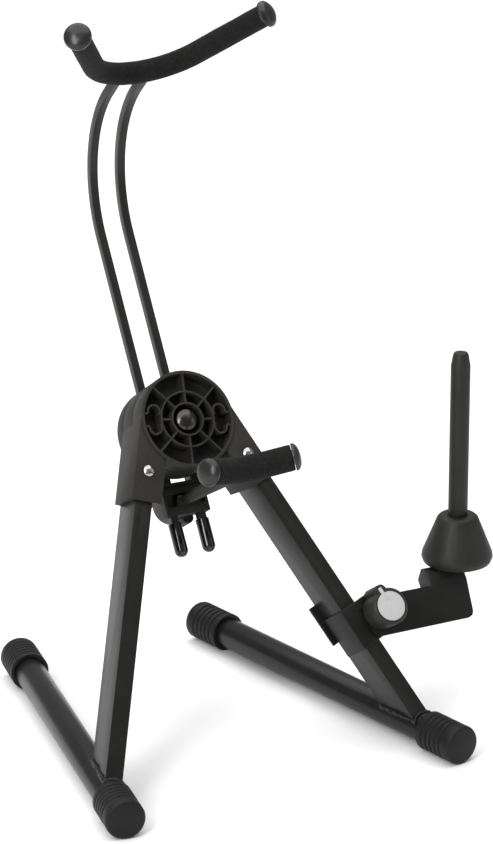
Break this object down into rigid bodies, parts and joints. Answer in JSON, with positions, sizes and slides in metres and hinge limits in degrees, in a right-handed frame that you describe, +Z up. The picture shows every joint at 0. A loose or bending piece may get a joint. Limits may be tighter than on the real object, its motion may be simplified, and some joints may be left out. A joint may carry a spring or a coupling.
{
  "type": "folding saxophone stand",
  "caption": "Folding saxophone stand with tubular feet, ribbed hub, bent riser rods, padded neck and bell yokes, and a side clamp carrying a woodwind peg.",
  "frame": {"origin": "on the floor, under the middle of the box round the whole stand", "axes": "+Z up, -Y towards the player's side where the yokes open, +X towards the leg that carries the peg"},
  "size_m": [0.4027, 0.3425, 0.5873],
  "materials": {
    "black_foam": "matte",
    "black_hardware": "satin",
    "bracket_coat": "satin",
    "bright_screw": "polished",
    "cap_rubber": "matte",
    "foot_coat": "satin",
    "hub_nylon": "matte",
    "knob_plastic": "matte",
    "leg_coat": "satin",
    "peg_plastic": "matte",
    "plug_plastic": "semi-gloss",
    "rod_coat": "satin",
    "vinyl_tip": "gloss",
    "white_disc": "semi-gloss"
  },
  "bodies": {
    "hub": {"rod_carrier": "hub_nylon", "pivot_bolt": "black_hardware", "hub_washers": "black_hardware", "pivot_nut": "black_hardware", "lower_bracket": "hub_nylon", "lower_yoke_stem": "hub_nylon", "lower_yoke_tube": "rod_coat", "lower_yoke_foam": "black_foam", "lower_yoke_left_cap": "plug_plastic", "lower_yoke_right_cap": "plug_plastic", "clamp_plate": "hub_nylon", "height_clamp_bolt": "black_hardware"},
    "left_leg": {"left_hub_half": "hub_nylon", "left_leg_tube": "leg_coat", "left_weld_bead": "foot_coat", "left_foot_tube": "foot_coat", "left_front_foot_cap": "cap_rubber", "left_rear_foot_cap": "cap_rubber", "left_socket_screw": "bright_screw"},
    "right_leg": {"right_hub_half": "hub_nylon", "right_leg_tube": "leg_coat", "right_weld_bead": "foot_coat", "right_foot_tube": "foot_coat", "right_front_foot_cap": "cap_rubber", "right_rear_foot_cap": "cap_rubber", "right_socket_screw": "bright_screw"},
    "riser": {"left_riser_rod": "rod_coat", "right_riser_rod": "rod_coat", "left_rod_tip": "vinyl_tip", "right_rod_tip": "vinyl_tip", "upper_yoke_tube": "rod_coat", "upper_yoke_foam": "black_foam", "upper_yoke_left_cap": "plug_plastic", "upper_yoke_right_cap": "plug_plastic"},
    "height_knob": {"height_knob": "knob_plastic"},
    "peg_clamp": {"peg_clamp_front": "bracket_coat", "peg_clamp_rear": "bracket_coat", "peg_clamp_bolt": "black_hardware"},
    "peg_arm": {"peg_arm": "bracket_coat", "peg_cone": "peg_plastic", "peg_post": "peg_plastic", "peg_screw": "black_hardware"},
    "peg_knob": {"peg_knob": "knob_plastic", "knob_inlay": "white_disc"}
  },
  "joints": [
    {"name": "left_leg_fold", "type": "hinge", "parent": "hub", "child": "left_leg", "pos_m": [-0.0363, 0.0183, 0.2598], "axis": [0, -0.8462, 0.5329], "range_deg": [0, 20]},
    {"name": "right_leg_fold", "type": "hinge", "parent": "hub", "child": "right_leg", "pos_m": [-0.0363, 0.0183, 0.2598], "axis": [0, 0.8462, -0.5329], "range_deg": [0, 20]},
    {"name": "yoke_height", "type": "slide", "parent": "hub", "child": "riser", "axis": [0, 0.5329, 0.8462], "range_m": [-0.12, 0.005]},
    {"name": "height_knob_turn", "type": "hinge", "parent": "hub", "child": "height_knob", "pos_m": [-0.0363, 0.0395, 0.18086], "axis": [0, -0.8462, 0.5329], "range_deg": [-360, 0]},
    {"name": "peg_clamp_slide", "type": "slide", "parent": "right_leg", "child": "peg_clamp", "axis": [-0.3665, 0.4958, 0.7873], "range_m": [-0.025, 0.08]},
    {"name": "peg_arm_swivel", "type": "hinge", "parent": "peg_clamp", "child": "peg_arm", "pos_m": [0.0865, -0.07935, 0.10474], "axis": [0, -0.8462, 0.5329], "range_deg": [-20, 25]},
    {"name": "peg_knob_turn", "type": "hinge", "parent": "peg_clamp", "child": "peg_knob", "pos_m": [0.0865, -0.07935, 0.10474], "axis": [0, -0.8462, 0.5329], "range_deg": [-180, 180]}
  ]
}
